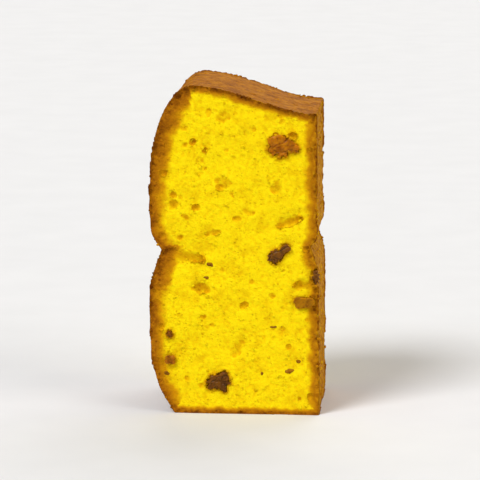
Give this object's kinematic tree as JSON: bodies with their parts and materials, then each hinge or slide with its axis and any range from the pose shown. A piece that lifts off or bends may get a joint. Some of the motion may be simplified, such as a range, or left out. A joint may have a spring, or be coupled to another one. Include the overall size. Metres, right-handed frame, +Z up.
{
  "type": "fruit cake slice",
  "caption": "Upright slice of yellow fruit sponge cake with a split domed crust, a flat foot, and raisins, sultanas and candied peel in its cut faces.",
  "frame": {"origin": "under the middle of the slice, on the flat foot that it stands on", "axes": "+Z up along the loaf's width, +X towards the bottom crust, -X towards the domed crust, -Y towards the cut face that the picture shows"},
  "size_m": [0.0445, 0.0361, 0.0856],
  "materials": {
    "sponge": "open yellow crumb, browned crusts",
    "peel": "moist candied peel",
    "raisin": "wrinkled, slightly shiny",
    "sultana": "wrinkled, moist"
  },
  "bodies": {
    "root": {"sponge": "sponge", "peel_front": "peel", "raisin_front": "raisin", "sultana_front": "sultana", "raisin_low": "raisin", "currant_left": "raisin", "sultana_left": "sultana", "crust_raisin": "raisin", "raisin_back": "raisin", "peel_back": "peel", "sultana_back": "sultana", "raisin_back_low": "raisin", "currant_back": "raisin", "sultana_back_low": "sultana"}
  },
  "joints": []
}
